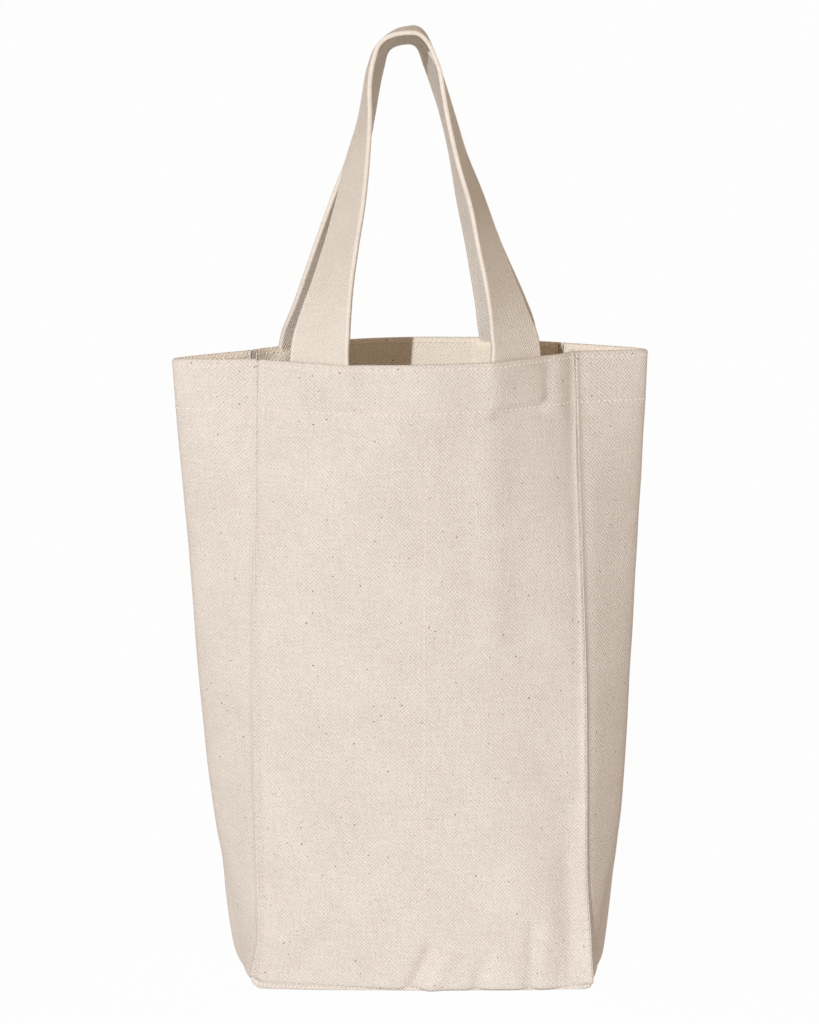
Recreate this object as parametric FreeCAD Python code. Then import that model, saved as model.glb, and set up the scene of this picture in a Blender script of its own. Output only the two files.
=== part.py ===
import FreeCAD, Part
import math
import os

Vector = FreeCAD.Vector

# Two-bottle carrier sewn from canvas, with two web handles.
# Millimetres, +Z up, front at -Y, origin on the floor under the middle of the base.

# Driving dimensions of the bag
panel_width = 178.0          # front and back panels, from seam to seam along the cloth
gusset_width = 89.0          # side panels, from seam to seam along the cloth
bag_height = 330.0           # floor to rim
cloth = 1.0                  # thickness of the canvas
base_bow = 0.5               # bow of the front and back panels along the base
rim_bulge = 2.0              # how much further their middle stands out at the rim
rim_fold_angle = 68.0        # degrees that each half of a gusset has turned out at the rim
lower_open_share = 0.85      # how much of that opening builds up evenly from the base
wall_spans = 8               # spans between the sections of a wall

# Facings, the bands of cloth inside the rim
facing_depth = 25.4          # rim to lower edge
facing_inset = 4.0           # facing stops this short of the side seams
layer_gap = 0.15             # air between layers that are sewn together
pocket_ease = 1.0            # room beside a sewn strap end
pocket_ramp = 5.0            # length over which a facing lifts over a strap end

# Divider between the two bottles
divider_bottom = 45.0        # floor to its lower edge
divider_drop = 60.0          # rim to its upper edge
divider_flange = 9.0         # width of the edges that are turned and sewn to the panels
divider_hem = 12.0           # depth of the doubled upper edge

# Handles
strap_width = 32.0
strap_thickness = 2.2
strap_spacing = 104.0        # between the two feet of a handle, along the rim
sewn_depth = 22.0            # length of strap sewn in below the rim
handle_rise = 168.0          # rim to the middle of the strap at the top of the front handle
back_handle_drop = 5.0       # the back handle's top lies this much lower
handle_gap = 0.6             # between the two handles where they meet
arch_radius = 14.2           # middle of the strap round the top
flat_camber = 0.05           # least camber across a strap
leg_spans = 8                # spans between the sections of a leg
arch_spans = 8               # spans between the sections of the arch

# Fold line that a handle swings about
fold_rise = 7.0              # above the rim
fold_lead = 5.4              # in front of the middle of the strap's feet
fold_gap = 0.3               # between a free handle and its sewn ends

half_gusset = gusset_width / 2
facing_bottom = bag_height - facing_depth
divider_top = bag_height - divider_drop
facing_lift = strap_thickness + layer_gap
strap_outer = cloth + layer_gap
strap_inner = strap_outer + strap_thickness
foot_along = strap_spacing / 2


class Section:
    """Outline of the bag at one height, along the middle of the cloth. The faced rim has one outline."""

    def __init__(self, height):
        rise_share = min(1.0, max(0.0, (height - cloth) / (facing_bottom - cloth)))
        rim_reach = half_gusset * math.sin(math.radians(rim_fold_angle))
        open_share = lower_open_share * math.sqrt(rise_share) + (1 - lower_open_share) * rise_share ** 3
        self.reach = rim_reach * open_share
        self.seam = math.sqrt(half_gusset ** 2 - self.reach ** 2)
        self.middle = half_gusset + base_bow + rim_bulge * rise_share
        self.angle = bow_angle(self.middle - self.seam)
        self.radius = panel_width / (2 * self.angle)
        self.chord = self.radius * math.sin(self.angle)

    def corner(self, offset):
        """Where panel and gusset meet, mitred, at an offset outwards from the middle of the cloth."""
        panel_normal = Vector(math.sin(self.angle), math.cos(self.angle), 0)
        gusset_normal = Vector(self.seam / half_gusset, self.reach / half_gusset, 0)
        mitre = (panel_normal + gusset_normal).normalize()
        return Vector(self.chord, self.seam, 0) + mitre * (offset / mitre.dot(panel_normal))


def bow_angle(bow):
    """Half the angle of an arc as long as a panel is wide, that stands out by the bow."""
    bow_share = bow / panel_width
    angle = 4 * bow_share
    for step in range(12):
        angle *= bow_share / ((1 - math.cos(angle)) / (2 * angle))
    return angle


def panel_point(side, along, depth, height):
    """A point on the front (-1) or back (+1) panel, at a depth inwards from its outer face."""
    section = Section(height)
    radius = section.radius + cloth / 2 - depth
    turn = along / section.radius
    out = section.middle - section.radius + radius * math.cos(turn)
    return Vector(radius * math.sin(turn), side * out, height)


def gusset_point(side, along, depth, height):
    """A point on the left (-1) or right (+1) gusset, measured along the cloth from its crease."""
    section = Section(height)
    offset = cloth / 2 - depth
    seam_share = abs(along) / half_gusset
    out = section.chord + section.reach * (1 - seam_share)
    if along == 0:
        return Vector(side * (out + offset * half_gusset / section.seam), 0, height)
    out += offset * section.seam / half_gusset
    back = section.seam * seam_share + offset * section.reach / half_gusset
    return Vector(side * out, math.copysign(1, along) * back, height)


def corner_point(side_x, side_y, offset, height):
    corner = Section(height).corner(offset)
    return Vector(side_x * corner.x, side_y * corner.y, height)


def arc(start, middle, end):
    return Part.Arc(start, middle, end).toShape()


def panel_loop(side, stations, height):
    """Closed wire through places (along, depth) on a panel, with arcs along the cloth."""
    edges = []
    for (along, depth), (next_along, next_depth) in zip(stations, stations[1:] + stations[:1]):
        start = panel_point(side, along, depth, height)
        end = panel_point(side, next_along, next_depth, height)
        if along == next_along:
            edges.append(Part.makeLine(start, end))
        else:
            middle = panel_point(side, (along + next_along) / 2, (depth + next_depth) / 2, height)
            edges.append(arc(start, middle, end))
    return Part.Wire(edges)


def loft(wires):
    return Part.makeLoft(wires, True, True)


def wall_heights():
    """Closer together near the base, where the gussets open fastest, then one span behind the facings."""
    rise = facing_bottom - cloth
    return [cloth + rise * (step / wall_spans) ** 2 for step in range(wall_spans + 1)] + [bag_height]


def panel(side):
    wires = []
    for height in wall_heights():
        middle = Section(height).middle
        faces = []
        for offset in (cloth / 2, -cloth / 2):
            left = corner_point(-1, side, offset, height)
            right = corner_point(1, side, offset, height)
            faces.append((left, Vector(0, side * (middle + offset), height), right))
        outer, inner = faces
        edges = [
            arc(*outer),
            Part.makeLine(outer[2], inner[2]),
            arc(*reversed(inner)),
            Part.makeLine(inner[0], outer[0]),
        ]
        wires.append(Part.Wire(edges))
    return loft(wires)


def gusset(side):
    wires = []
    for height in wall_heights():
        points = [
            corner_point(side, -1, cloth / 2, height),
            gusset_point(side, 0, 0, height),
            corner_point(side, 1, cloth / 2, height),
            corner_point(side, 1, -cloth / 2, height),
            gusset_point(side, 0, cloth, height),
            corner_point(side, -1, -cloth / 2, height),
        ]
        wires.append(Part.makePolygon(points + points[:1]))
    return loft(wires)


def base():
    """Flat panel under the four walls, with their outline."""
    height = cloth
    middle = Section(height).middle + cloth / 2
    front_left = corner_point(-1, -1, cloth / 2, height)
    front_right = corner_point(1, -1, cloth / 2, height)
    back_right = corner_point(1, 1, cloth / 2, height)
    back_left = corner_point(-1, 1, cloth / 2, height)
    edges = [
        arc(front_left, Vector(0, -middle, height), front_right),
        Part.makeLine(front_right, back_right),
        arc(back_right, Vector(0, middle, height), back_left),
        Part.makeLine(back_left, front_left),
    ]
    return Part.Face(Part.Wire(edges)).extrude(Vector(0, 0, -cloth))


def panel_facing(side):
    """Band inside the rim of the front or back panel, lifted over the two sewn strap ends."""
    end = panel_width / 2 - facing_inset
    near = foot_along - strap_width / 2 - pocket_ease
    far = foot_along + strap_width / 2 + pocket_ease
    rows = [
        (near - pocket_ramp, 0),
        (near, facing_lift),
        (far, facing_lift),
        (far + pocket_ramp, 0),
        (end, 0),
    ]
    rows = [(-along, lift) for along, lift in reversed(rows)] + rows
    outer = [(along, strap_outer + lift) for along, lift in rows]
    inner = [(along, depth + cloth) for along, depth in reversed(outer)]
    heights = (facing_bottom, bag_height)
    return loft([panel_loop(side, outer + inner, height) for height in heights])


def gusset_facing(side):
    """Band inside the rim of a gusset."""
    end = half_gusset - facing_inset
    outer = cloth + layer_gap
    inner = outer + cloth
    wires = []
    for height in (facing_bottom, bag_height):
        stations = [(-end, outer), (0, outer), (end, outer), (end, inner), (0, inner), (-end, inner)]
        points = [gusset_point(side, along, depth, height) for along, depth in stations]
        wires.append(Part.makePolygon(points + points[:1]))
    return loft(wires)


def divider():
    """Wall across the middle, with edges turned to the right along both panels and a doubled top."""
    outer = cloth + layer_gap
    inner = outer + cloth
    wires = []
    for height in (divider_bottom, (divider_bottom + divider_top) / 2, divider_top):
        edges = []
        corners = []
        for side in (-1, 1):
            web = panel_point(side, -cloth / 2, outer, height)
            tip = panel_point(side, divider_flange, outer, height)
            inner_tip = panel_point(side, divider_flange, inner, height)
            inner_web = panel_point(side, cloth / 2, inner, height)
            outer_middle = panel_point(side, (divider_flange - cloth / 2) / 2, outer, height)
            inner_middle = panel_point(side, (divider_flange + cloth / 2) / 2, inner, height)
            flange = [arc(web, outer_middle, tip), Part.makeLine(tip, inner_tip)]
            flange.append(arc(inner_tip, inner_middle, inner_web))
            edges.append(flange)
            corners.append((web, inner_web))
        (front_web, front_inner), (back_web, back_inner) = corners
        front_edges, back_edges = edges
        across = [Part.makeLine(front_inner, back_inner)]
        closing = [Part.makeLine(back_web, front_web)]
        wires.append(Part.Wire(front_edges + across + list(reversed(back_edges)) + closing))
    wall = loft(wires)
    hem_bottom = divider_top - divider_hem
    hem_half = panel_point(1, 0, inner, hem_bottom).y
    hem_corner = Vector(-cloth * 3 / 2, -hem_half, hem_bottom)
    hem = Part.makeBox(cloth * 3 / 2, 2 * hem_half, divider_hem, hem_corner)
    return wall.fuse(hem).removeSplitter()


def strap_section(middle, across, out, camber):
    """Wire round a strap. Its outer face looks out, and its edges fall back by the camber."""
    half_width = across * (strap_width / 2)
    edge_back = out * camber
    faces = []
    for offset in (out * (strap_thickness / 2), out * (-strap_thickness / 2)):
        crown = middle + offset
        faces.append((crown - half_width - edge_back, crown, crown + half_width - edge_back))
    outer, inner = faces
    edges = [
        arc(*outer),
        Part.makeLine(outer[2], inner[2]),
        arc(*reversed(inner)),
        Part.makeLine(inner[0], outer[0]),
    ]
    return Part.Wire(edges)


def sewn_section(side_x, height):
    """Wire round a strap where it is sewn in behind the front panel."""
    near = side_x * (foot_along - strap_width / 2)
    far = side_x * (foot_along + strap_width / 2)
    outer = [(near, strap_outer), (far, strap_outer)]
    inner = [(far, strap_inner), (near, strap_inner)]
    return panel_loop(-1, outer + inner, height)


def strap_foot():
    """Middle of the strap at the right foot of the front handle, on the rim."""
    return panel_point(-1, foot_along, (strap_outer + strap_inner) / 2, bag_height)


def leg_wires(side_x, rise):
    """Sections up one leg of the front handle, which turns edge-on to the front as it rises."""
    foot = strap_foot()
    center_rise = rise - arch_radius
    reach = math.hypot(foot.x, center_rise)
    start_turn = math.acos(arch_radius / reach) - math.atan2(center_rise, foot.x)
    top_y = -(strap_width + handle_gap) / 2
    top = Vector(arch_radius * math.cos(start_turn), top_y,
                 bag_height + center_rise + arch_radius * math.sin(start_turn))
    foot_turn = foot_along / Section(bag_height).radius
    foot_camber = strap_width ** 2 / (8 * Section(bag_height).radius)
    along = (top - foot).normalize()
    wires = []
    for step in range(1, leg_spans + 1):
        leg_share = (step / leg_spans) ** 1.5
        turn = foot_turn + (math.pi / 2 - foot_turn) * (1 - (1 - leg_share) ** 3)
        across = Vector(math.cos(turn), math.sin(turn), 0)
        across = (across - along * across.dot(along)).normalize()
        out = across.cross(along)
        middle = foot + (top - foot) * leg_share
        camber = flat_camber + foot_camber * (1 - leg_share) ** 3
        flip = Vector(side_x, 1, 1)
        wires.append(strap_section(scaled(middle, flip), scaled(across, flip), scaled(out, flip), camber))
    return wires, start_turn


def scaled(vector, factors):
    return Vector(vector.x * factors.x, vector.y * factors.y, vector.z * factors.z)


def front_strap(rise):
    """One whole strap as it hangs on the front panel, from sewn end to sewn end."""
    right_leg, start_turn = leg_wires(1, rise)
    left_leg, start_turn = leg_wires(-1, rise)
    center = Vector(0, -(strap_width + handle_gap) / 2, bag_height + rise - arch_radius)
    arch = []
    for step in range(1, arch_spans):
        turn = start_turn + (math.pi - 2 * start_turn) * step / arch_spans
        out = Vector(math.cos(turn), 0, math.sin(turn))
        arch.append(strap_section(center + out * arch_radius, Vector(0, 1, 0), out, flat_camber))
    sewn = [bag_height - sewn_depth, bag_height]
    right_end = [sewn_section(1, height) for height in sewn]
    left_end = [sewn_section(-1, height) for height in reversed(sewn)]
    return loft(right_end + right_leg + arch + list(reversed(left_leg)) + left_end)


def fold_axis():
    """Front and height of the line that the front handle swings about."""
    return strap_foot().y - fold_lead, bag_height + fold_rise


def fold_zone(radius):
    """What swings with the front handle: all above its fold line, and what lies behind it above the rim."""
    axis_y, axis_z = fold_axis()
    left = -panel_width
    top = axis_z + 2 * handle_rise
    front = axis_y - gusset_width
    back = axis_y + gusset_width
    half_turn_share = math.sqrt(0.5)
    brow = Vector(left, axis_y - radius, axis_z)
    cheek = Vector(left, axis_y - radius * half_turn_share, axis_z - radius * half_turn_share)
    heel = Vector(left, axis_y, axis_z - radius)
    outline = [
        heel,
        Vector(left, back, heel.z),
        Vector(left, back, top),
        Vector(left, front, top),
        Vector(left, front, axis_z),
        brow,
    ]
    edges = [arc(brow, cheek, heel)] + Part.makePolygon(outline).Edges
    return Part.Face(Part.Wire(edges)).extrude(Vector(2 * panel_width, 0, 0))


def handle(rise):
    """Free handle and its left and right sewn ends, on the front panel."""
    strap = front_strap(rise)
    free = strap.common(fold_zone(fold_rise - fold_gap)).Solids[0]
    ends = strap.cut(fold_zone(fold_rise)).Solids
    left_end, right_end = sorted(ends, key=lambda solid: solid.CenterOfMass.x)
    return free, left_end, right_end


def to_back(shape):
    return shape.mirror(Vector(0, 0, 0), Vector(0, 1, 0))


nodes = {
    "front_panel": panel(-1),
    "back_panel": panel(1),
    "left_gusset": gusset(-1),
    "right_gusset": gusset(1),
    "base_panel": base(),
    "divider_panel": divider(),
    "front_facing": panel_facing(-1),
    "back_facing": panel_facing(1),
    "left_facing": gusset_facing(-1),
    "right_facing": gusset_facing(1),
}
front = handle(handle_rise)
back = [to_back(shape) for shape in handle(handle_rise - back_handle_drop)]
for place, shapes in (("front", front), ("back", back)):
    for piece, shape in zip(("handle", "handle_left_end", "handle_right_end"), shapes):
        nodes[f"{place}_{piece}"] = shape

os.makedirs("parts", exist_ok=True)
for name, shape in nodes.items():
    shape.exportStep(f"parts/{name}.step")
    box = shape.BoundBox
    print(f"{name}: {len(shape.Solids)} solid, valid {shape.isValid()}, {shape.Volume:.0f} mm3, "
          f"{box.XLength:.1f} by {box.YLength:.1f} by {box.ZLength:.1f}")
axis_y, axis_z = fold_axis()
print(f"fold line of the front handle: y {axis_y:.2f}, z {axis_z:.2f}")
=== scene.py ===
import math

import bmesh
import bpy
from mathutils import Matrix, Vector, noise


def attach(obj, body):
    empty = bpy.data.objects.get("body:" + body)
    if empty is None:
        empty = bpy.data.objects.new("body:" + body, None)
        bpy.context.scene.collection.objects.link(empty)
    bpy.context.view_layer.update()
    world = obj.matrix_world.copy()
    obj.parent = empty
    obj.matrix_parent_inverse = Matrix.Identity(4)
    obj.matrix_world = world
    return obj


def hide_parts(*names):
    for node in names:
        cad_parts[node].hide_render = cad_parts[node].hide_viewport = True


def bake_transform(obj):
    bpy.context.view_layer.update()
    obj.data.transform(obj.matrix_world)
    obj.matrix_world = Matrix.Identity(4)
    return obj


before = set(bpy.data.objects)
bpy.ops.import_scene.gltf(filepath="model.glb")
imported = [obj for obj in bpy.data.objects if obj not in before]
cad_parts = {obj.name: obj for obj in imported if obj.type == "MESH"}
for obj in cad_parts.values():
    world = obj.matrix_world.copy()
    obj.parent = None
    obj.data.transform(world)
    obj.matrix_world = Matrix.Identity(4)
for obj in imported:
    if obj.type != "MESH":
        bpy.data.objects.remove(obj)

# Two-bottle carrier: sewn canvas bag with creased gussets and two cotton web handles.
# Lengths are in millimetres until a mesh is finished, front at -Y, floor at 0.
mm = 0.001
scene = bpy.context.scene
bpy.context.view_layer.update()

bag = {
    "height": 330.0,
    "half": {"panel": 89.0, "gusset": 44.5},    # from the middle of a cloth to its seam
    "canvas": 0.9,                              # thickness
    "allowance": 8.0,                           # cloth turned in at the seams
    "tuckLift": 0.7, "tuckSlope": 0.7,          # how the walls' allowances lie over the base
    "cornerRoom": 14.0, "cornerKeep": 3.0,      # and how they run out towards its corners
    "seamRadius": 0.25,
    "seamLayer": 0.52,                          # a turned-in cloth lies this far from the seam's middle
    "seamProud": 0.8,
    "seamRidge": {"outside": 1.5, "inside": 6.0},           # how wide the proud seam is
    "seamDip": {"deep": 0.35, "off": 4.2, "wide": 2.2},     # hollow beside it
    "seamCalm": 9.0,                            # folds die out this close to a seam
    "seamLeast": 0.75,                          # lowest height of the seam round the base
    "seamLift": 45.0,                           # above this, that seam's height no longer tells
    "rollUnder": 1.5, "rollHigh": 4.5,          # how far the walls turn in above the base seam, and how high up
    "trim": 0.75, "trimFrom": 16.0, "trimOver": 10.0,       # allowances are cut short at the rim
    "tipDrop": {"left": 1.2, "right": 2.3},     # the rim hangs this much lower at the gusset creases
    "tipFrom": 180.0,                           # from this height on
    "hem": 27.4, "hemTrim": 1.0,                # turned in at the rim
    "hemFold": 0.75,                            # radius of the fold along the rim
    "hemRadius": 3.2,                           # the hem inside takes its corners wider
    # how the bag stands: outline at these heights, as half widths and depths
    "levels":      (0.0, 3.0, 8.0, 14.0, 30.0, 60.0, 110.0, 165.0, 220.0, 275.0, 330.0),
    "leftCrease":  (90.0, 95.0, 98.2, 99.8, 102.0, 105.0, 110.4, 114.2, 116.8, 120.2, 123.2),
    "rightCrease": (90.0, 93.6, 96.2, 97.4, 99.7, 103.5, 108.6, 112.0, 115.5, 119.4, 123.0),
    "leftSeam":    (88.6, 88.8, 88.2, 87.0, 84.2, 84.4, 85.3, 85.2, 84.4, 82.9, 81.4),
    "rightSeam":   (87.6, 87.8, 87.8, 87.5, 86.7, 84.8, 84.6, 84.0, 82.4, 81.2, 81.3),
    "seamDepth":   (44.2, 44.0, 43.6, 43.2, 41.8, 40.0, 37.0, 34.3, 30.2, 23.6, 15.6),
    "middle":      (44.9, 46.2, 46.9, 47.2, 47.3, 47.0, 46.6, 46.6, 46.9, 47.2, 47.4),
    "turn":        (-5.4, -5.4, -5.3, -5.3, -5.1, -4.6, -3.6, -2.2, -0.6, 1.1, 3.0),
    "creaseRound": (30.0, 26.0, 22.0, 20.0, 16.0, 12.0, 9.0, 7.0, 5.5, 4.5, 3.6),
    "lean": 2.4,                                # to the right at the base, to the left at the rim
}

# height of the seam round the base, along each wall from its left or front end
baseSeam = {
    "front": ((-89, -84, -70, -48, -6, 57, 80, 86, 89), (8.6, 5.4, 4.2, 3.0, 0.7, 0.7, 2.2, 3.4, 4.2)),
    "back":  ((-89, -80, -50, 50, 80, 89), (5.0, 3.2, 0.7, 0.7, 3.2, 5.0)),
    "left":  ((-44.5, -38, -20, 20, 38, 44.5), (8.6, 5.0, 1.6, 1.2, 3.2, 5.0)),
    "right": ((-44.5, -38, -20, 20, 38, 44.5), (4.2, 3.0, 1.4, 1.2, 3.2, 5.0)),
}

walls = {
    "front": {"kind": "panel", "side": -1},
    "back":  {"kind": "panel", "side": 1},
    "left":  {"kind": "gusset", "side": -1},
    "right": {"kind": "gusset", "side": 1},
}

# soft folds in the cloth: from and to along and up the wall, how wide and how far out
folds = {
    "front": (
        ((-5, 0), (3, 22), 4.2, -4.2),
        ((4, 0), (12, 18), 5.0, 1.6),
        ((29, 2), (34, 18), 4.0, -2.2),
        ((57, 0), (58, 34), 3.6, -2.0),
        ((65, 4), (67, 40), 6.0, 1.0),
        ((79, 12), (80, 70), 5.0, -1.3),
        ((-40, 47), (-66, 19), 6.5, -1.1),
        ((-52, 46), (-74, 24), 8.0, 0.7),
        ((34, 320), (38, 190), 11.0, 1.6),
        ((52, 24), (54, 100), 15.0, 1.4),
        ((78, 14), (80, 96), 8.0, -1.1),
        ((38, 303.5), (63, 304.5), 3.2, -2.0),
        ((36, 309.0), (64, 310.0), 3.6, 0.9),
        ((71, 323), (67, 303), 3.2, -1.1),
        ((75, 316), (79, 300), 3.4, 0.4),
        ((-72, 305), (-40, 304.5), 2.4, -0.3),
    ),
    "back": (
        ((-30, 0), (-24, 30), 8.0, -1.6),
        ((22, 2), (28, 22), 7.0, -1.2),
        ((60, 18), (42, 52), 8.0, 1.0),
    ),
    "left": (
        ((-20, 8), (-6, 60), 9.0, -1.2),
        ((18, 4), (10, 40), 8.0, 0.9),
    ),
    "right": (
        ((-22, 6), (-10, 50), 9.0, -1.0),
        ((16, 10), (6, 70), 9.0, -0.8),
    ),
}

# slow waves all over the cloth: height, length along, length up and a step in the seed
waves = ((1.1, 70, 95, 0), (0.30, 24, 30, 3))
calmRim = {"from": 290.0, "over": 30.0, "share": 0.75}      # the hem holds them down


def ease(t):
    t = min(1.0, max(0.0, t))
    return t * t * (3 - 2 * t)


def clamp(value, limit):
    return min(limit, max(-limit, value))


def follow(places, values, at):
    # smooth line through the values, flat beyond both ends
    if at <= places[0]:
        return values[0]
    if at >= places[-1]:
        return values[-1]
    i = max(k for k in range(len(places) - 1) if places[k] <= at)

    def slope(k):
        before, after = max(k - 1, 0), min(k + 1, len(places) - 1)
        return (values[after] - values[before]) / (places[after] - places[before])

    span = places[i + 1] - places[i]
    t = (at - places[i]) / span
    rise = values[i + 1] - values[i]
    a = slope(i) * span - rise
    b = -slope(i + 1) * span + rise
    return (1 - t) * values[i] + t * values[i + 1] + t * (1 - t) * ((1 - t) * a + t * b)


outlines = {}       # kept, as many points ask for the same height


def outline(z):
    key = round(z, 2)
    if key not in outlines:
        names = ("leftCrease", "rightCrease", "leftSeam", "rightSeam",
                 "seamDepth", "middle", "turn", "creaseRound")
        outlines[key] = {name: follow(bag["levels"], bag[name], z) for name in names}
    return outlines[key]


def curve(wall, along, z):
    # a wall's line at one height, before the bag's turn and lean
    line = outline(z)
    side = walls[wall]["side"]
    if walls[wall]["kind"] == "panel":
        chord = (line["leftSeam"] + line["rightSeam"]) / 2
        shift = (line["rightSeam"] - line["leftSeam"]) / 2
        bow = line["middle"] - line["seamDepth"]
        radius = (chord ** 2 + bow ** 2) / (2 * bow)
        angle = along / bag["half"]["panel"] * math.asin(min(1.0, chord / radius))
        x = shift + radius * math.sin(angle)
        return Vector((x, side * (line["middle"] - radius + radius * math.cos(angle))))
    seam = line["leftSeam"] if side < 0 else line["rightSeam"]
    crease = line["leftCrease"] if side < 0 else line["rightCrease"]
    depth, soft = line["seamDepth"], line["creaseRound"]
    y = depth * along / bag["half"]["gusset"]
    full = math.hypot(depth, soft)
    out = seam + (crease - seam) * (full - math.hypot(y, soft)) / (full - soft)
    return Vector((side * out, y))


def neighbour(wall, end):
    # the cloth sewn to this end of a wall, and which end of that cloth
    if walls[wall]["kind"] == "panel":
        return ("left" if end < 0 else "right"), walls[wall]["side"]
    return ("front" if end < 0 else "back"), walls[wall]["side"]


corners = {}        # kept for the same reason


def corner(wall, end, z):
    # a seam at one height: its place, the line across it from this cloth to the next, and the way in
    key = (wall, end, round(z, 2))
    if key not in corners:
        half = bag["half"][walls[wall]["kind"]]
        other, otherEnd = neighbour(wall, end)
        otherHalf = bag["half"][walls[other]["kind"]]
        place = curve(wall, end * half, z)
        own = (place - curve(wall, end * (half - 1), z)).normalized()
        theirs = (place - curve(other, otherEnd * (otherHalf - 1), z)).normalized()
        across = (own - theirs).normalized()
        inward = Vector((-across.y, across.x))
        if inward.dot(place) > 0:
            inward.negate()
        corners[key] = place, across, inward
    return corners[key]


def seamed(wall, along, z, radius, reach=1.0):
    # the same line, with the cloth turned in at both seams
    half = bag["half"][walls[wall]["kind"]]
    over = abs(along) - half
    if over <= -radius:
        return curve(wall, along, z)
    end = 1 if along > 0 else -1
    place, across, inward = corner(wall, end, z)
    layer = place - across * bag["seamLayer"]
    if over >= radius:
        return layer + inward * over * reach
    t = (over + radius) / (2 * radius)
    start = curve(wall, end * (half - radius), z)
    return start * (1 - t) ** 2 + layer * 2 * t * (1 - t) + (layer + inward * radius * reach) * t ** 2


turnedRound = ("back", "left")      # walls that run the other way round the bag


def outward(wall, along, z, radius=bag["seamRadius"], reach=1.0):
    # level direction out of the cloth
    step = 0.25
    ahead = seamed(wall, along + step, z, radius, reach)
    tangent = (ahead - seamed(wall, along - step, z, radius, reach)).normalized()
    out = Vector((tangent.y, -tangent.x))
    if wall in turnedRound:
        out.negate()
    return out


def stand(flat, z):
    # turn and lean of the whole bag at that height
    line = outline(z)
    turn = math.radians(line["turn"])
    lean = bag["lean"] * (1 - 2 * min(1.0, z / bag["height"]))
    x = flat.x * math.cos(turn) - flat.y * math.sin(turn) + lean
    y = flat.x * math.sin(turn) + flat.y * math.cos(turn)
    return Vector((x, y, z))


handles = {
    "front": {"feet": (-55.3, 49.5)},           # middle of both sewn ends, along the panel
    "back":  {"feet": (-55.2, 59.0)},
}
web = {
    "width": 32.0, "thickness": 2.2,
    "gap": 0.15,                                # between web and cloth
    "sewn": 21.0,                               # length held in the hem
    "sewnMarks": (15.0, 9.0, 4.0, 0.0),
    "lift": 0.55,                               # how far it pushes the cloth out
    "softSide": 3.5, "softEnd": 3.0,            # how soon the cloth lies flat again beside and below it
    "lead": 1.7, "leadDeep": 26.0, "leadWide": 11.0,        # its turn while in the hem, which the cloth follows
    "loose": 0.5, "looseOver": 2.5,             # room for it in the hem, and how soon below the rim
    "step": 3.0,                                # between sections of a leg
    "crownSteps": 14, "crownRound": 0.55, "crownEase": 2.1,
}


def footBump(wall, along, below):
    # how much of the sewn web shows in the cloth over it, below the rim
    if wall not in handles or below > web["sewn"] + web["softEnd"]:
        return 0.0
    lift = 0.0
    for foot in handles[wall]["feet"]:
        beside = abs(along - foot) - web["width"] / 2
        level = 1 - ease((beside + 0.5) / web["softSide"])
        lift = max(lift, level * (1 - ease((below - web["sewn"] + 1) / web["softEnd"])))
    return lift


def footTwist(wall, along, below):
    # the web starts to turn while still in the hem, and takes the cloth with it
    deep, reach = web["leadDeep"], web["width"] / 2
    if wall not in handles or below > deep:
        return 0.0
    out = 0.0
    for foot in handles[wall]["feet"]:
        off = (along - foot) * (1 if foot < 0 else -1)
        if abs(off) < reach:
            lean = off / reach
        else:
            lean = math.copysign(1 - ease((abs(off) - reach) / web["leadWide"]), off)
        out += web["lead"] * lean * (1 - ease(below / deep))
    return out


def rumple(wall, along, up):
    # how far the cloth stands out from its even line
    half = bag["half"][walls[wall]["kind"]]
    out = 0.0
    for (a0, u0), (a1, u1), wide, height in folds[wall]:
        start, run, at = Vector((a0, u0)), Vector((a1 - a0, u1 - u0)), Vector((along, up))
        t = (at - start).dot(run) / run.length_squared
        near = start + run * min(1.0, max(0.0, t))
        out += height * math.exp(-((at - near).length / wide) ** 2)
    seed = 7.0 * list(walls).index(wall)
    calm = 1 - calmRim["share"] * ease((up - calmRim["from"]) / calmRim["over"])
    out += calm * sum(high * noise.noise(Vector((along / long, up / tall, seed + step)))
                      for high, long, tall, step in waves)
    return out * ease((half - abs(along)) / bag["seamCalm"])


def seamHeight(wall, along):
    return max(bag["seamLeast"], follow(*baseSeam[wall], along))


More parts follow.
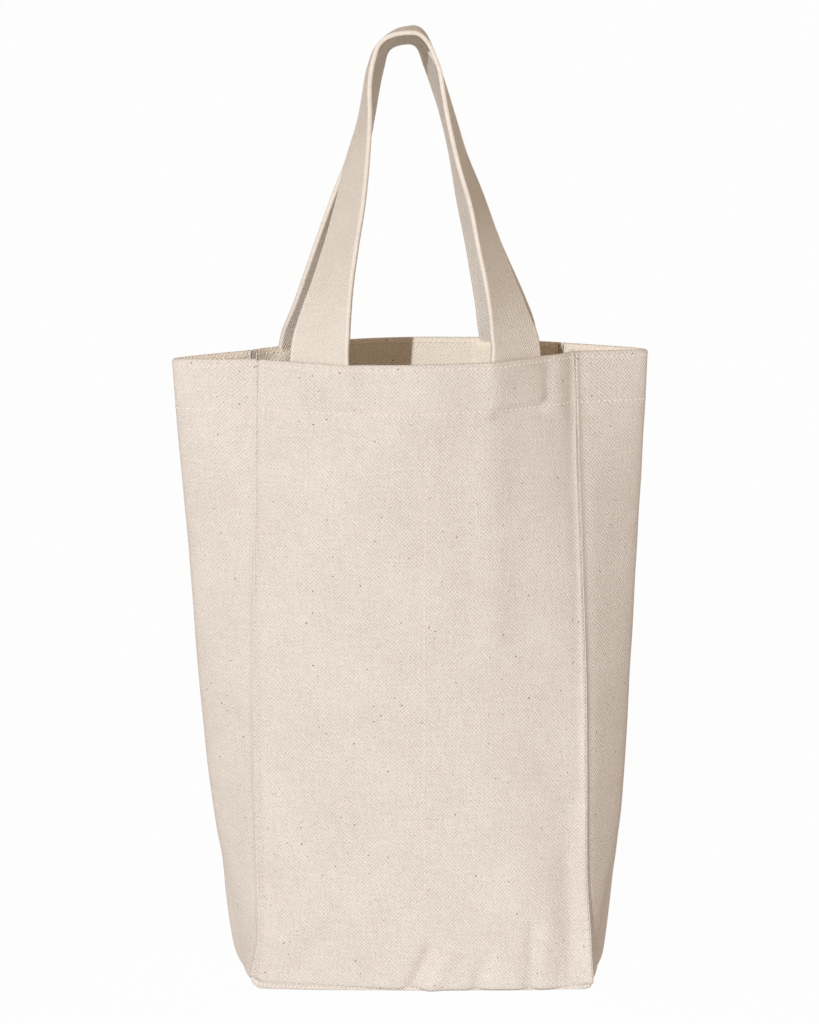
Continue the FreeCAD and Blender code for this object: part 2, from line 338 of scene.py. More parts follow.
def wallPlace(wall, along, up):
    # a point of the flat cut, along from its middle and up from the base seam, as it stands in the bag
    height, half, fold = bag["height"], bag["half"][walls[wall]["kind"]], bag["hemFold"]
    seam = seamHeight(wall, clamp(along, half))
    over = abs(along) - half
    if up < 0:
        # turned in over the base, and kept short at the corners
        tucked = up * bag["tuckSlope"]
        z = seam - tucked
        inside = stand(seamed(wall, along, seam, bag["seamRadius"]), seam)
        way = outward(wall, clamp(along, half - bag["cornerKeep"]), seam)
        room = ease((half - abs(along)) / bag["cornerRoom"])
        level = stand(way * tucked * room, z) - stand(Vector((0, 0)), z)
        return inside + level + Vector((0, 0, (bag["tuckLift"] - tucked) * room))
    z = min(up, height - fold)
    z += seam * (1 - ease(up / bag["seamLift"]))
    folded = ease((up - (height - fold)) / (math.pi * fold))
    radius = bag["seamRadius"] * (1 - folded) + bag["hemRadius"] * folded
    reach = 1 - bag["trim"] * max(folded, ease((z - height + bag["trimFrom"]) / bag["trimOver"]))
    out = outward(wall, along, z, radius, reach)
    flat = seamed(wall, along, z, radius, reach)
    shift = rumple(wall, along, z) if over < 0 else 0.0
    below = height - z if up <= height else up - height
    shift += web["lift"] * footBump(wall, along, below) + footTwist(wall, along, below)
    # the cloth rolls under at the base, dips beside a seam, and the seam itself stands a little proud
    roll = max(0.0, 1 - up / bag["rollHigh"]) ** 2 * ease((half - abs(along)) / bag["seamCalm"])
    dip, ridge = bag["seamDip"], bag["seamRidge"]
    shift -= bag["rollUnder"] * roll + dip["deep"] * math.exp(-((over + dip["off"]) / dip["wide"]) ** 2)
    if over > -4 * ridge["outside"]:
        inward = corner(wall, 1 if along > 0 else -1, z)[2]
        wide = ridge["outside"] if over < 0 else ridge["inside"]
        flat = flat - inward * bag["seamProud"] * (1 - folded) * math.exp(-(over / wide) ** 2)
    past = up - (height - fold)
    if past > 0:
        angle = min(math.pi, past / fold)
        shift -= fold * (1 - math.cos(angle))
        rise = fold * math.sin(angle)
        down = max(0.0, past - math.pi * fold)
        z = height - fold + rise - down
        if down > 0:
            room = web["thickness"] + web["loose"]
            shift -= room * footBump(wall, along, down) * ease(down / web["looseOver"])
            if over < 0:        # folds run through both layers
                shift += rumple(wall, along, z) - rumple(wall, along, height - fold)
            flat, out = seamed(wall, along, z, radius, reach), outward(wall, along, z, radius, reach)
    place = stand(flat + out * shift, z)
    if wall in bag["tipDrop"]:
        late = ease((z - bag["tipFrom"]) / (height - bag["tipFrom"]))
        place.z -= bag["tipDrop"][wall] * max(0.0, -over / half) * late
    return place


def stations(marks, step):
    # marks kept, and evenly filled to no more than a step apart
    places = [marks[0]]
    for a, b in zip(marks, marks[1:]):
        count = max(1, math.ceil((b - a) / step - 1e-6))
        places += [a + (b - a) * k / count for k in range(1, count + 1)]
    return places


def meshFrom(bm, name):
    mesh = bpy.data.meshes.new(name)
    bm.to_mesh(mesh)
    bm.free()
    return mesh


def gridMesh(name, columns, rows, place, keep=None):
    # flat cut as a grid, moved to where the cloth hangs; its flat coordinates stay as a UV map in metres
    bm = bmesh.new()
    across, along = len(columns) - 1, len(rows) - 1
    bmesh.ops.create_grid(bm, x_segments=across, y_segments=along, size=0.5)
    uv = bm.loops.layers.uv.new("cloth")
    spot = {}
    for vert in bm.verts:
        i = round((vert.co.x + 0.5) * across)
        j = round((vert.co.y + 0.5) * along)
        spot[vert] = columns[i], rows[j]
    for face in bm.faces:
        for loop in face.loops:
            loop[uv].uv = Vector(spot[loop.vert]) * mm
    if keep:
        lost = []
        for face in bm.faces:
            middle = [sum(spot[v][k] for v in face.verts) / len(face.verts) for k in (0, 1)]
            if not keep(*middle):
                lost.append(face)
        bmesh.ops.delete(bm, geom=lost, context="FACES")
    for vert in bm.verts:
        vert.co = place(*spot[vert]) * mm
    return meshFrom(bm, name)


def addPiece(name, mesh, material, body="bag", replaced=()):
    piece = bpy.data.objects.new(name, mesh)
    scene.collection.objects.link(piece)
    piece.data.materials.append(material)
    for polygon in piece.data.polygons:
        polygon.use_smooth = True
    if body:
        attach(piece, body)
    if replaced:
        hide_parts(*replaced)
    return piece


def thicken(piece):
    wall = piece.modifiers.new("cloth", "SOLIDIFY")
    wall.thickness = bag["canvas"] * mm
    wall.offset = 0.0


def hexLinear(code):
    parts = [int(code[i:i + 2], 16) / 255 for i in (1, 3, 5)]
    return tuple(c / 12.92 if c <= 0.04045 else ((c + 0.055) / 1.055) ** 2.4 for c in parts) + (1.0,)


def addNode(tree, kind, sockets=None, **settings):
    node = tree.nodes.new(kind)
    for name, value in settings.items():
        setattr(node, name, value)
    for name, value in (sockets or {}).items():
        if isinstance(value, bpy.types.NodeSocket):
            tree.links.new(value, node.inputs[name])
        else:
            node.inputs[name].default_value = value
    return node


def newMaterial(name):
    material = bpy.data.materials.new(name)
    material.use_nodes = True
    material.node_tree.nodes.clear()
    return material, material.node_tree


def bands(pitch):
    # scale of a Wave texture whose bands are that many millimetres apart, on coordinates in metres
    return 2 * math.pi / (20 * pitch * mm)


def mathNode(tree, operation, *values, **settings):
    return addNode(tree, "ShaderNodeMath", dict(enumerate(values)), operation=operation, **settings).outputs[0]


def rangeNode(tree, value, low, high, toLow=0.0, toHigh=1.0):
    sockets = {"Value": value, "From Min": low, "From Max": high, "To Min": toLow, "To Max": toHigh}
    return addNode(tree, "ShaderNodeMapRange", sockets).outputs[0]


def mixNode(tree, share, first, second):
    return addNode(tree, "ShaderNodeMix", {0: share, 6: first, 7: second}, data_type="RGBA").outputs[2]


def noiseNode(tree, place, size, detail):
    # clouds of about that many millimetres
    sockets = {"Vector": place, "Scale": 1 / (size * mm), "Detail": detail}
    return addNode(tree, "ShaderNodeTexNoise", sockets).outputs["Fac"]


def weaveNode(tree, uv, across, along, wander, detail, detailScale):
    # threads both ways, that many millimetres apart: high and low where they cross
    threads = []
    for direction, pitch in (("X", across), ("Y", along)):
        sockets = {"Vector": uv, "Scale": bands(pitch), "Distortion": wander,
                   "Detail": detail, "Detail Scale": detailScale}
        wave = addNode(tree, "ShaderNodeTexWave", sockets, bands_direction=direction)
        threads.append(mathNode(tree, "SUBTRACT", wave.outputs["Fac"], 0.5))
    return mathNode(tree, "MULTIPLY", *threads)


def fleckNode(tree, uv, look):
    # a fleck in the middle of some cells, of uneven size
    cells = addNode(tree, "ShaderNodeTexVoronoi", {"Vector": uv, "Scale": 1 / (look["speckCell"] * mm)})
    lot = addNode(tree, "ShaderNodeSeparateColor", {0: cells.outputs["Color"]})
    size = rangeNode(tree, lot.outputs[0], look["speckFrom"], 1.0, *look["speckSize"])
    inside = mathNode(tree, "SUBTRACT", size, cells.outputs["Distance"])
    return rangeNode(tree, inside, 0.0, look["speckSoft"], 0.0, look["speckShare"])


def surfaceNode(tree, look, colour, rough, height):
    bump = addNode(tree, "ShaderNodeBump", {"Strength": look["bump"], "Distance": look["relief"] * mm,
                                            "Height": height})
    sockets = {"Base Color": colour, "Roughness": rough, "Normal": bump.outputs[0], "IOR": 1.5, **look["sheen"]}
    surface = addNode(tree, "ShaderNodeBsdfPrincipled", sockets)
    addNode(tree, "ShaderNodeOutputMaterial", {"Surface": surface.outputs[0]})


canvasLook = {
    # inside: painted bounce light on the hem's inner face, lighter and warmer than the cloth itself
    "light": "#EFE7E1", "dark": "#B0A294", "speck": "#6A533E", "inside": "#FFF3E2",
    "pitch": 2.0,                 # real threads are about 0.6 mm apart, drawn coarser so that they show
    "slubLong": 14.0, "slubWide": 1.3, "cloud": 38.0, "grain": 0.9,
    "pastRim": (0.6, 1.8), "bounceLightShare": 0.95,
    "speckCell": 3.6, "speckFrom": 0.4, "speckSize": (0.02, 0.155), "speckSoft": 0.06, "speckShare": 0.78,
    "bump": 0.7, "relief": 0.6,
    "sheen": {"Specular IOR Level": 0.2, "Sheen Weight": 0.08, "Sheen Roughness": 0.6},
}


def canvasMaterial():
    # natural unbleached cotton canvas, plain woven: matt, with uneven threads and dark flecks of seed husk
    look = canvasLook
    material, tree = newMaterial("unbleached_cotton_canvas")
    uv = addNode(tree, "ShaderNodeUVMap", uv_map="cloth").outputs[0]
    crossing = weaveNode(tree, uv, look["pitch"], look["pitch"], 4.2, 2.0, 0.8)
    weave = mathNode(tree, "MULTIPLY_ADD", crossing, 1.4, 0.5)

    # single threads that are thicker for a while, both ways
    long, wide = 1 / (look["slubLong"] * mm), 1 / (look["slubWide"] * mm)
    slubs = []
    for stretch in ((long, wide, 1.0), (wide, long, 1.0)):
        threads = addNode(tree, "ShaderNodeMapping", {"Vector": uv, "Scale": stretch})
        sockets = {"Vector": threads.outputs[0], "Scale": 1.0, "Detail": 3.0}
        slubs.append(addNode(tree, "ShaderNodeTexNoise", sockets).outputs["Fac"])
    slub = mathNode(tree, "ADD", *slubs)
    cloud = noiseNode(tree, uv, look["cloud"], 4.0)
    grain = noiseNode(tree, uv, look["grain"], 2.0)

    height = mathNode(tree, "MULTIPLY_ADD", slub, 0.45, weave)
    height = mathNode(tree, "MULTIPLY_ADD", grain, 1.3, height)
    # painted shade: the weave's low places are drawn darker, as shade would fall in them; the cloud noise adds
    # the cloth's own uneven tone
    hollowShade = rangeNode(tree, height, 2.05, 1.05)
    toneAndShade = mathNode(tree, "MULTIPLY_ADD", cloud, 0.28, -0.10)
    toneAndShade = mathNode(tree, "MULTIPLY_ADD", hollowShade, 0.55, toneAndShade, use_clamp=True)
    tint = mixNode(tree, toneAndShade, hexLinear(look["light"]), hexLinear(look["dark"]))

    # painted bounce light: the inside of the hem, past the rim, is drawn lighter and warmer than the outside,
    # standing for the warm light that bounces round inside the bag
    upCut = addNode(tree, "ShaderNodeSeparateXYZ", {0: uv}).outputs[1]
    start, full = ((bag["height"] + past) * mm for past in look["pastRim"])
    paintedBounceLight = rangeNode(tree, upCut, start, full, 0.0, look["bounceLightShare"])
    tint = mixNode(tree, paintedBounceLight, tint, hexLinear(look["inside"]))

    colour = mixNode(tree, fleckNode(tree, uv, look), tint, hexLinear(look["speck"]))
    rough = rangeNode(tree, height, 0.9, 2.2, 0.96, 0.84)
    surfaceNode(tree, look, colour, rough, height)
    return material


webLook = {
    "light": "#F6EEE5", "dark": "#BBAA99", "speck": "#6B543F",
    "along": 1.8, "across": 1.35, "fibre": 1.1, "cloud": 22.0,
    "edge": (15.4, 14.2),         # the cords fade out here, off the middle
    "speckCell": 9.0, "speckFrom": 0.7, "speckSize": (0.0, 0.05), "speckSoft": 0.02, "speckShare": 0.7,
    "bump": 0.7, "relief": 0.8,
    "sheen": {"Specular IOR Level": 0.2, "Sheen Weight": 0.1, "Sheen Roughness": 0.5},
}


def webMaterial():
    # heavy cotton web, woven double: plump cords across its face
    look = webLook
    material, tree = newMaterial("cotton_web")
    uv = addNode(tree, "ShaderNodeUVMap", uv_map="cloth").outputs[0]
    crossing = weaveNode(tree, uv, look["across"], look["along"], 2.4, 1.0, 0.4)
    # the last threads at both edges are packed closer and lie smooth
    sides = addNode(tree, "ShaderNodeSeparateXYZ", {0: uv})
    offMiddle = mathNode(tree, "ABSOLUTE", sides.outputs[0])
    middle = rangeNode(tree, offMiddle, *(place * mm for place in look["edge"]))
    ribs = mathNode(tree, "MULTIPLY", crossing, middle)
    weave = mathNode(tree, "MULTIPLY_ADD", ribs, 1.8, 0.5)
    fibre = noiseNode(tree, uv, look["fibre"], 3.0)
    cloud = noiseNode(tree, uv, look["cloud"], 3.0)
    height = mathNode(tree, "MULTIPLY_ADD", fibre, 1.1, weave)
    # painted shade: the web's low places between the cords are drawn darker, as shade would fall in them; the
    # cloud noise adds the web's own uneven tone
    hollowShade = rangeNode(tree, height, 1.5, 0.6)
    toneAndShade = mathNode(tree, "MULTIPLY_ADD", cloud, 0.3, -0.12)
    toneAndShade = mathNode(tree, "MULTIPLY_ADD", hollowShade, 0.36, toneAndShade, use_clamp=True)
    tint = mixNode(tree, toneAndShade, hexLinear(look["light"]), hexLinear(look["dark"]))
    colour = mixNode(tree, fleckNode(tree, uv, look), tint, hexLinear(look["speck"]))
    rough = rangeNode(tree, height, 0.3, 1.4, 0.95, 0.8)
    surfaceNode(tree, look, colour, rough, height)
    return material


threadLook = {
    "light": "#F7F0E7", "dark": "#E6DCCF", "ply": 0.5,
    "bump": 0.4, "relief": 0.1, "rough": 0.75, "sheen": {"Sheen Weight": 0.1},
}


def threadMaterial():
    # spun cotton sewing thread: paler than the canvas, with the plies winding round it
    look = threadLook
    material, tree = newMaterial("cotton_thread")
    place = addNode(tree, "ShaderNodeTexCoord").outputs["Object"]
    sockets = {"Vector": place, "Scale": bands(look["ply"]), "Distortion": 1.0}
    ply = addNode(tree, "ShaderNodeTexWave", sockets, bands_direction="DIAGONAL").outputs["Fac"]
    tint = mixNode(tree, ply, hexLinear(look["dark"]), hexLinear(look["light"]))
    surfaceNode(tree, look, tint, look["rough"], ply)
    return material


canvas = canvasMaterial()
cotton = webMaterial()
thread = threadMaterial()
print("materials:", canvas.name, cotton.name, thread.name)

# the four walls, each one cut with its hem and its seam allowances
replacedByWall = {
    "front": ("front_panel", "front_facing"),
    "back": ("back_panel", "back_facing"),
    "left": ("left_gusset", "left_facing"),
    "right": ("right_gusset", "right_facing"),
}
wallCut = {
    "step": 2.7, "rimStep": 1.5,
    "seamMarks": (8.0, 6.0, 4.4, 3.3, 2.5, 1.8, 1.2, 0.6, 0.25, 0.0),       # columns short of a seam
    "spareMarks": (0.25, 0.7, 1.6, 3.4),                                    # and past it
    "tuckMarks": (4.0, 1.4), "footMarks": (0.0, 1.5, 3.0, 5.0, 8.0),        # rows below and above the base seam
    "rimFrom": 32.0, "rimTo": 2.5,                                          # closer rows below the rim
    "foldShares": (0.0, 0.2, 0.4, 0.6, 0.8, 1.0), "hemMarks": (1.2, 3.0),
}

height, fold, spare = bag["height"], bag["hemFold"], bag["allowance"]
hemStart = height - fold + math.pi * fold       # along the cut, where the fold at the rim ends
hemEnd = hemStart + bag["hem"] - bag["hemTrim"]
rimRows = [height - fold + fold * math.pi * share for share in wallCut["foldShares"]]
rows = [-spare] + [-m for m in wallCut["tuckMarks"]]
rows += stations([*wallCut["footMarks"], height - wallCut["rimFrom"]], wallCut["step"])
rows += stations([height - wallCut["rimFrom"], height - wallCut["rimTo"]], wallCut["rimStep"])[1:] + rimRows
rows += stations([rimRows[-1] + m for m in wallCut["hemMarks"]] + [hemEnd], wallCut["step"])

for wall, replaced in replacedByWall.items():
    half = bag["half"][walls[wall]["kind"]]
    edge = [half - m for m in wallCut["seamMarks"]] + [half + m for m in (*wallCut["spareMarks"], spare)]
    columns = stations([-m for m in reversed(edge)] + edge, wallCut["step"])
    mesh = gridMesh(f"{wall}_canvas", columns, rows, lambda a, u, w=wall: wallPlace(w, a, u),
                    keep=lambda a, u, h=half: not (abs(a) > h and u < 0))
    piece = addPiece(f"{wall}_canvas", mesh, canvas, replaced=replaced)
    thicken(piece)
    print("wall sewn in:", wall, len(mesh.vertices), "points")

base = {
    "step": 4.0, "edgeMarks": (10.0, 6.5, 4.0, 2.2, 1.0, 0.3, 0.0), "tuckMark": 1.4,
    "low": 0.8, "lowOver": 2.5,             # the edge goes in with the walls' roll where its seam is low
    "seat": 0.3,                            # the edge lies this much below the seam
    "curl": 1.5, "curlMore": 1.1,           # how far in the lifted edge reaches: at least, and per mm of lift
    "tuckIn": 0.72, "tuckUp": 0.6,          # how its allowance lies
}
halfX, halfY = bag["half"]["panel"], bag["half"]["gusset"]


def basePlace(x, y):
    # the base takes its edges from the four walls, lies flat on the floor and lifts where its seam does
    inX, inY = clamp(x, halfX), clamp(y, halfY)
    s, t = (inX + halfX) / (2 * halfX), (inY + halfY) / (2 * halfY)
    edges = {}
    for wall in walls:
        at = inX if walls[wall]["kind"] == "panel" else inY
        half = bag["half"][walls[wall]["kind"]]
        low = 1 - ease((seamHeight(wall, at) - base["low"]) / base["lowOver"])
        under = bag["rollUnder"] * low * ease((half - abs(at)) / bag["seamCalm"])
        way = outward(wall, clamp(at, half - bag["cornerKeep"]), 0.0)
        edges[wall] = stand(curve(wall, at, 0.0) - way * under, 0.0)
    tips = [[stand(curve(wall, end * halfX, 0.0), 0.0) for end in (-1, 1)] for wall in ("front", "back")]
    spot = edges["front"] * (1 - t) + edges["back"] * t + edges["left"] * (1 - s) + edges["right"] * s
    for i, ws in enumerate((1 - s, s)):
        for j, wt in enumerate((1 - t, t)):
            spot -= tips[j][i] * ws * wt
    flatZ = bag["canvas"] / 2
    lift = 0.0
    for wall, away, at in (("front", inY + halfY, inX), ("back", halfY - inY, inX),
                           ("left", inX + halfX, inY), ("right", halfX - inX, inY)):
        high = max(0.0, seamHeight(wall, at) - base["seat"] - flatZ)
        near = 1 - min(1.0, away / (base["curl"] + base["curlMore"] * high))
        lift = max(lift, high * (1 - math.sqrt(1 - near * near)))
    spot.z = flatZ + lift
    over = Vector((x - inX, y - inY))
    if over.length > 0:
        back = Vector((-over.x, -over.y, 0))
        back.rotate(Matrix.Rotation(math.radians(outline(0.0)["turn"]), 3, "Z"))
        toCorner = halfX - abs(inX) if over.y else halfY - abs(inY)
        tuck = back * base["tuckIn"] + Vector((0, 0, over.length * base["tuckUp"]))
        spot += tuck * ease(toCorner / bag["cornerRoom"])
    return spot


def baseStations(half):
    edge = [half - m for m in base["edgeMarks"]] + [half + base["tuckMark"], half + spare]
    return stations([-m for m in reversed(edge)] + edge, base["step"])


baseMesh = gridMesh("base_canvas", baseStations(halfX), baseStations(halfY), basePlace,
                    keep=lambda x, y: abs(x) < halfX or abs(y) < halfY)
basePiece = addPiece("base_canvas", baseMesh, canvas, replaced=("base_panel",))
thicken(basePiece)
print("base laid")

divider = {
    "bottom": 45.0, "top": 270.0, "along": -2.6, "halfSpan": 45.6, "flange": 9.0,
    "behind": 1.35,                         # flanges lie this far inside the panels' middle
    "hem": 12.0, "hemMark": 4.5, "fold": 0.7, "foldShares": (0.25, 0.5, 0.75, 1.0), "topMark": 6.0,
    "slack": 3.0, "slackOver": 60.0,        # it hangs a little to one side
}


def dividerPlace(across, up):
    # from the front flange over to the back flange, with the top edge turned over
    low, high, fold = divider["bottom"], divider["top"], divider["fold"]
    past = up - (high - low)
    z = min(high, low + up)
    side = 0.0
    if past > 0:
        angle = min(math.pi, past / fold)
        down = max(0.0, past - math.pi * fold)
        z = high + fold * math.sin(angle) - down
        side = -fold * (1 - math.cos(angle))

    def behind(wall, along):
        return stand(curve(wall, along, z) - outward(wall, along, z) * divider["behind"], z)

    front, back = (behind(wall, divider["along"]) for wall in ("front", "back"))
    run = back - front
    reach = run.length / 2
    flange = abs(across) - reach
    if flange > 0:
        return behind("front" if across < 0 else "back", divider["along"] + flange)
    t = (across + reach) / (2 * reach)
    right = Vector((run.y, -run.x, 0)).normalized()
    slack = divider["slack"] * math.sin(math.pi * t) * ease((z - low) / divider["slackOver"])
    return front + run * t + right * (slack + side)


span, tall = divider["halfSpan"], divider["top"] - divider["bottom"]
turned = divider["fold"] * math.pi
dividerRows = stations([0.0, tall - divider["topMark"], tall], 5.0)
dividerRows += [tall + turned * share for share in divider["foldShares"]]
dividerRows += stations([tall + divider["hemMark"], tall + turned + divider["hem"]], 4.0)
dividerEdge = [span - 2.5, span, span + 1.0, span + divider["flange"]]
dividerColumns = stations([-m for m in reversed(dividerEdge)] + dividerEdge, 4.5)
dividerMesh = gridMesh("divider_canvas", dividerColumns, dividerRows, dividerPlace,
                       keep=lambda a, u: not (abs(a) > span and u > tall))
dividerPiece = addPiece("divider_canvas", dividerMesh, canvas, replaced=("divider_panel",))
thicken(dividerPiece)
print("divider sewn in")

# the two webs: middle of the strap up each leg, and how far it has turned edge-on, then round the top
handles["front"].update({
    "levels": (338, 345, 355, 370, 390, 410, 430, 450, 465, 475, 485),
    "left":  (-53.2, -52.1, -50.2, -46.8, -42.0, -37.4, -33.7, -29.9, -28.4, -26.9, -23.9),
    "right": (47.0, 45.4, 43.2, 39.2, 33.5, 28.1, 21.3, 15.7, 12.1, 10.1, 6.4),
    "leftTurn":  (33, 38, 47, 58, 66, 70.5, 76, 85, 90.5, 91.6, 92.5),
    "rightTurn": (37, 42, 49.5, 58, 65, 71, 75, 79, 82.6, 84, 84),
    "far": -16.6, "crown": (-4.4, 495.3), "crownTurn": 8.0, "crownTilt": 0.02,
})
handles["back"].update({
    "levels": (338, 352, 378, 404, 429, 450, 465, 475),
    "left":  (-54.2, -50.8, -44.6, -37.6, -29.8, -24.5, -21.7, -19.8),
    "right": (50.9, 47.5, 39.6, 31.4, 24.5, 18.4, 13.4, 9.9),
    "leftTurn":  (33, 43, 54, 62, 68, 73.5, 74.5, 73.5),
    "rightTurn": (31, 44, 61, 72, 80.5, 83, 82.5, 82),
    "far": 16.4, "crown": (-4.5, 489.8), "crownTurn": 6.0, "crownTilt": -0.23,
})


def pathWay(path, i):
    return (path[min(i + 1, len(path) - 1)] - path[max(i - 1, 0)]).normalized()


def webLeg(name, end):
    # middle of a web and direction out of its face, from the sewn end up to where the crown begins
    handle, side = handles[name], walls[name]["side"]
    foot = handle["feet"][0 if end < 0 else 1]
    legs = handle["left"] if end < 0 else handle["right"]
    turns = handle["leftTurn"] if end < 0 else handle["rightTurn"]
    rim, probe = bag["height"], web["width"] / 4
    depth = bag["canvas"] / 2 + web["gap"] + web["thickness"] / 2 - web["lift"]
    made = []
    for below in (web["sewn"], *web["sewnMarks"]):
        z = rim - below
        out = outward(name, foot, z)
        lead = footTwist(name, foot - end * probe, below) / probe
        out = (out + Vector((-out.y, out.x)) * lead * (-side * end)).normalized()
        face = Vector((out.x, out.y, 0))
        face.rotate(Matrix.Rotation(math.radians(outline(z)["turn"]), 3, "Z"))
        made.append((stand(curve(name, foot, z) - out * depth, z), face))
    root, face = made[-1]
    rootTurn = math.degrees(math.atan2(abs(face.x), abs(face.y)))
    levels, xs, angles = (rim, *handle["levels"]), (root.x, *legs), (rootTurn, *turns)
    top = levels[-1]
    z = rim + web["step"]
    while z <= top + 0.01:
        y = root.y + (handle["far"] - root.y) * (z - rim) / (top - rim)
        turn = math.radians(follow(levels, angles, z))
        face = Vector((end * math.sin(turn), side * math.cos(turn), 0))
        made.append((Vector((follow(levels, xs, z), y, z)), face))
        z += web["step"]
    return made


def webPath(name):
    # sections along a web: its middle and the direction across it
    handle = handles[name]
    left, right = webLeg(name, -1), webLeg(name, 1)
    # round the top, from the left leg's end over to the right leg's end
    a, b = left[-1][0], right[-1][0]
    leave = (a - left[-4][0]).normalized()
    arrive = (right[-4][0] - b).normalized()
    crown, level = Vector((handle["crown"][0], handle["far"], handle["crown"][1])), Vector((1, 0, 0))
    over = []
    for part, (p, fromP, q, intoQ) in enumerate(((a, leave, crown, level), (crown, level, b, arrive))):
        rise, run = abs(q.z - p.z) * web["crownRound"], abs(q.x - p.x) * web["crownRound"]
        reachP, reachQ = (run, rise) if part else (rise, run)
        for k in range(1, web["crownSteps"] + 1):
            t = k / web["crownSteps"]
            over.append(p * (1 - t) ** 3 + (p + fromP * reachP) * 3 * t * (1 - t) ** 2
                        + (q - intoQ * reachQ) * 3 * t * t * (1 - t) + q * t ** 3)
    over.pop()      # the right leg's end is there already
    path = [s[0] for s in left] + over + [s[0] for s in reversed(right)]
    faces = [s[1] for s in left] + [None] * len(over) + [s[1] for s in reversed(right)]
    first, last = len(left) - 1, len(left) + len(over)
    acrossLeft, acrossRight = (faces[k].cross(pathWay(path, k)).normalized() for k in (first, last))
    crownTurn = math.radians(handle["crownTurn"])
    acrossTop = Vector((math.sin(crownTurn), math.cos(crownTurn), handle["crownTilt"]))
    sections = []
    for i, spot in enumerate(path):
        way = pathWay(path, i)
        if faces[i] is None:
            t = (i - first) / (last - first)
            fromLeft, fromRight = ease(t * web["crownEase"]), ease((1 - t) * web["crownEase"])
            across = (acrossLeft * (1 - fromLeft) + acrossTop * min(fromLeft, fromRight)
                      + acrossRight * (1 - fromRight))
        else:
            across = faces[i].cross(way).normalized()
        sections.append((spot, (across - way * across.dot(way)).normalized()))
    return sections


def webMesh(name, piece):
    sections = webPath(name)
    lengths = [0.0]
    for (a, _), (b, _) in zip(sections, sections[1:]):
        lengths.append(lengths[-1] + (b - a).length)
    half = web["width"] / 2
    sectionAt = dict(zip(lengths, sections))

    def place(across, at):
        spot, acrossDir = sectionAt[at]
        return spot + acrossDir * across

    columns = stations([-half, -half + 1.0, -half + 3.0, half - 3.0, half - 1.0, half], 3.3)
    mesh = gridMesh(piece, columns, lengths, place)
    bm = bmesh.new()
    bm.from_mesh(mesh)
    bmesh.ops.recalc_face_normals(bm, faces=bm.faces[:])
    bmesh.ops.solidify(bm, geom=bm.faces[:], thickness=web["thickness"] * mm)
    bm.to_mesh(mesh)
    bm.free()
    return mesh, lengths[-1]


for name in ("front", "back"):
    piece = f"{name}_web"
    mesh, length = webMesh(name, piece)
    strap = addPiece(piece, mesh, cotton, body=None,
                     replaced=(f"{name}_handle", f"{name}_handle_left_end", f"{name}_handle_right_end"))
    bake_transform(strap)
    print("web:", piece, round(length), "mm long")

stitch = {
    "pitch": 3.0, "long": 2.2, "wide": 0.8, "high": 0.42,
    "clear": 3.5,                           # rows stop this short of a seam
    "rim": {"panel": 2.2, "gusset": 2.4}, "hem": {"panel": 24.6, "gusset": 25.2},       # rows below the rim
    "dividerWide": 0.6, "dividerClear": 2.0, "dividerOff": 4.0,
}


def stitchRow(bm, points, wide=stitch["wide"]):
    # one stitch at each point: place, direction along the row and direction out of the cloth
    for place, along, out in points:
        made = bmesh.ops.create_uvsphere(bm, u_segments=6, v_segments=5, radius=0.5)
        side = out.cross(along).normalized()
        turn = Matrix((along.normalized(), side, out.normalized())).transposed().to_4x4()
        size = Matrix.Diagonal((stitch["long"], wide, stitch["high"] * 2, 1))
        seat = Matrix.Scale(mm, 4) @ Matrix.Translation(place) @ turn @ size
        bmesh.ops.transform(bm, matrix=seat, verts=made["verts"])


def stitchAt(wall, along, up, upright=False):
    step = 0.5
    across = wallPlace(wall, along + step, up) - wallPlace(wall, along - step, up)
    rise = wallPlace(wall, along, up + step) - wallPlace(wall, along, up - step)
    out = across.cross(rise).normalized()
    if wall in turnedRound:
        out.negate()
    return wallPlace(wall, along, up) + out * bag["canvas"] / 2, rise if upright else across, out


def paces(start, stop):
    at = start
    while at <= stop:
        yield at
        at += stitch["pitch"]


for wall in walls:
    kind = walls[wall]["kind"]
    end = bag["half"][kind] - stitch["clear"]
    bm = bmesh.new()
    for below in (stitch["rim"][kind], stitch["hem"][kind]):
        for up in (bag["height"] - below, hemStart + below - bag["hemFold"]):       # outside, then on the hem
            stitchRow(bm, [stitchAt(wall, along, up) for along in paces(-end, end)])
    mesh = meshFrom(bm, f"{wall}_hem_stitches")
    addPiece(mesh.name, mesh, thread)

bm = bmesh.new()
low, high = divider["bottom"] + stitch["dividerClear"], divider["top"] - stitch["dividerClear"]
for wall in ("front", "back"):
    along = divider["along"] + stitch["dividerOff"]
    row = [stitchAt(wall, along, up, upright=True) for up in paces(low, high)]
    stitchRow(bm, row, wide=stitch["dividerWide"])
mesh = meshFrom(bm, "divider_stitches")
addPiece(mesh.name, mesh, thread)
print("stitches sewn")

stage = {
    "floor": 40.0, "floorColour": "#F4F3F1", "white": "#FFFFFF", "sky": "#AE9A84",
    "show": 0.97, "glow": 0.34,             # how much the floor shines, for the eye and for the bag
}


def eyeRays(tree):
    # 1 where the eye sees it, also by a reflection or through glass, and 0 where it only lights something
    rays = addNode(tree, "ShaderNodeLightPath").outputs
    seen = mathNode(tree, "MAXIMUM", rays["Is Camera Ray"], rays["Is Glossy Ray"])
    return mathNode(tree, "MAXIMUM", seen, rays["Is Transmission Ray"])


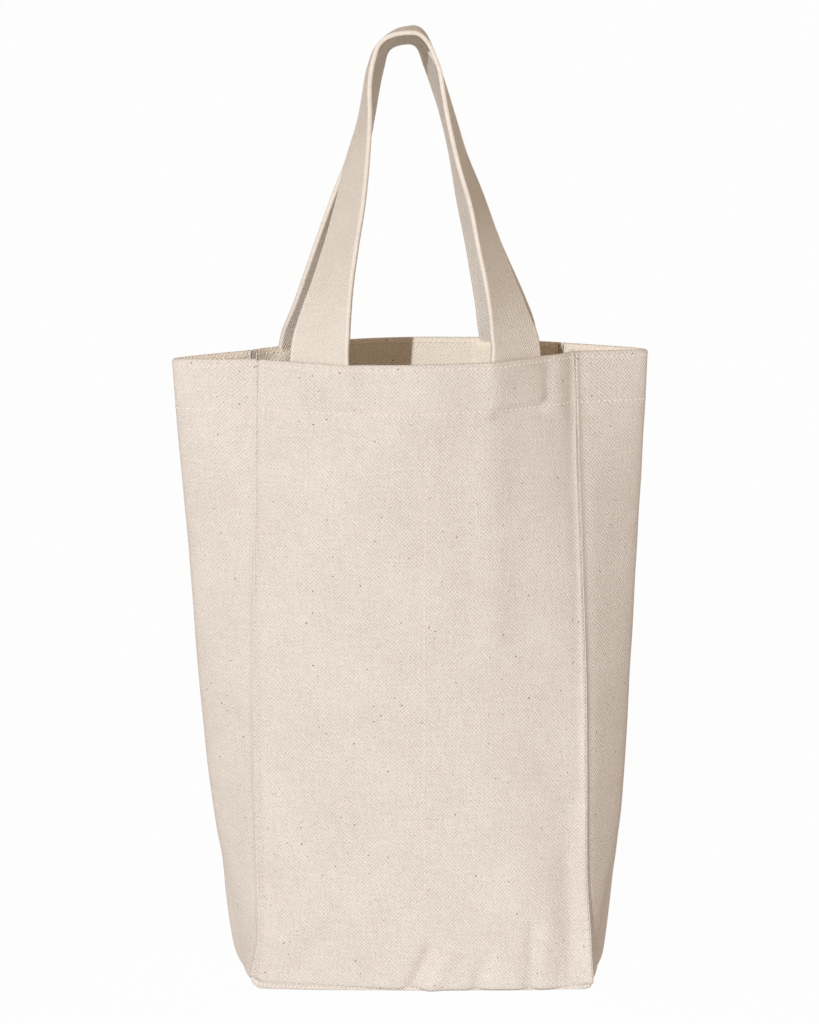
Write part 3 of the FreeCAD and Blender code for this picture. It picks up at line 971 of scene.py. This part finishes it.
# pale floor that keeps the bag's shadow, lit up to white for the eye
floorMaterial, tree = newMaterial("pale_studio_floor")
share = rangeNode(tree, eyeRays(tree), 0.0, 1.0, stage["glow"], stage["show"])
matt = addNode(tree, "ShaderNodeBsdfDiffuse", {"Color": hexLinear(stage["floorColour"])})
glow = addNode(tree, "ShaderNodeEmission", {"Color": hexLinear(stage["white"]), "Strength": 1.0})
mixed = addNode(tree, "ShaderNodeMixShader", {0: share, 1: matt.outputs[0], 2: glow.outputs[0]})
addNode(tree, "ShaderNodeOutputMaterial", {"Surface": mixed.outputs[0]})

bm = bmesh.new()
bmesh.ops.create_grid(bm, x_segments=2, y_segments=2, size=stage["floor"])
floorMesh = meshFrom(bm, "studio_floor")
floor = bpy.data.objects.new("studio_floor", floorMesh)
floor.data.materials.append(floorMaterial)
scene.collection.objects.link(floor)

world = bpy.data.worlds.new("studio")
scene.world = world
world.use_nodes = True
tree = world.node_tree
tree.nodes.clear()
colour = mixNode(tree, eyeRays(tree), hexLinear(stage["sky"]), hexLinear(stage["white"]))
sky = addNode(tree, "ShaderNodeBackground", {"Color": colour, "Strength": 1.0})
addNode(tree, "ShaderNodeOutputWorld", {"Surface": sky.outputs[0]})

key = {"from": (-0.45, -1.0, 0.32), "colour": "#F4FAFF", "strength": 2.2, "angle": 0.9}

lamp = bpy.data.lights.new("key", "SUN")
lamp.energy = key["strength"]
lamp.color = hexLinear(key["colour"])[:3]
lamp.angle = math.radians(key["angle"])
sun = bpy.data.objects.new("key", lamp)
sun.location = Vector(key["from"])
sun.rotation_euler = Vector(key["from"]).to_track_quat("Z", "Y").to_euler()
scene.collection.objects.link(sun)

view = {"place": (-174.4, -1653.8, 587.7), "aim": (-3.7, 3.5, 245.1), "lens": 115.1, "far": 50.0}

cameraData = bpy.data.cameras.new("camera")
cameraData.lens = view["lens"]
cameraData.clip_end = view["far"]
camera = bpy.data.objects.new("camera", cameraData)
camera.location = Vector(view["place"]) * mm
camera.rotation_euler = (Vector(view["aim"]) - Vector(view["place"])).to_track_quat("-Z", "Y").to_euler()
scene.collection.objects.link(camera)
scene.camera = camera
scene.view_settings.view_transform = "Standard"
print("stage, lamp and camera set")
